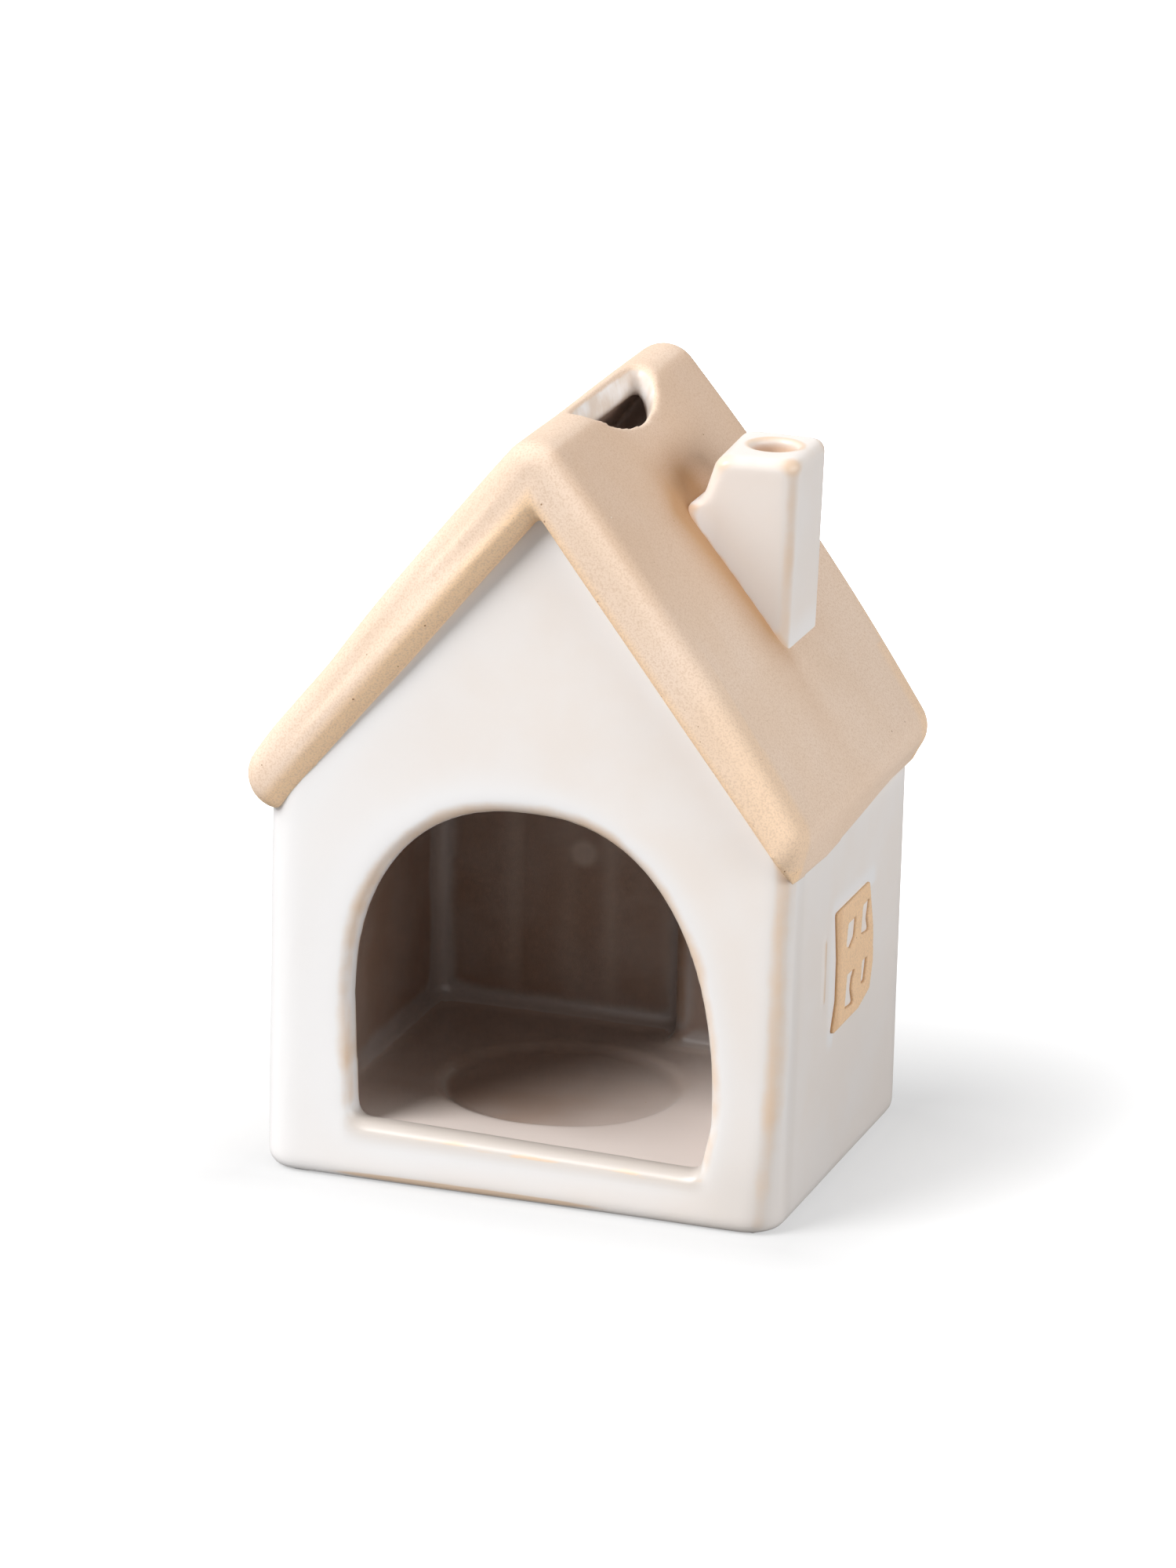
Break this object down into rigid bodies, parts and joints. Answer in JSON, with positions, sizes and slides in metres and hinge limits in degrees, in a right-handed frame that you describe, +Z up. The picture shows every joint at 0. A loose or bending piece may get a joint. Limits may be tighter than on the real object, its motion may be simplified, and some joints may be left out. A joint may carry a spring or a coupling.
{
  "type": "house tea light holder",
  "caption": "Small stoneware house for a tea light: glazed walls with an arched doorway, bare clay pitched roof with a smoke vent, and a glazed chimney.",
  "frame": {"origin": "on the table, under the middle of the house", "axes": "+Z up, -Y towards the doorway, +X towards the wall with the window"},
  "size_m": [0.091, 0.0746, 0.1241],
  "materials": {
    "white_glaze": "gloss",
    "bare_clay": "matte",
    "inner_glaze": "satin"
  },
  "bodies": {
    "root": {"floor_slab": "inner_glaze", "front_wall": "white_glaze", "back_wall": "white_glaze", "left_wall": "white_glaze", "right_wall": "white_glaze", "roof_left": "bare_clay", "roof_right": "bare_clay", "chimney": "white_glaze", "window_frame": "bare_clay", "inner_pier": "inner_glaze", "floor_coil_left": "inner_glaze", "floor_coil_right": "inner_glaze", "floor_coil_back": "inner_glaze", "floor_coil_pier": "inner_glaze", "corner_coil_left": "inner_glaze", "corner_coil_pier": "inner_glaze"}
  },
  "joints": []
}
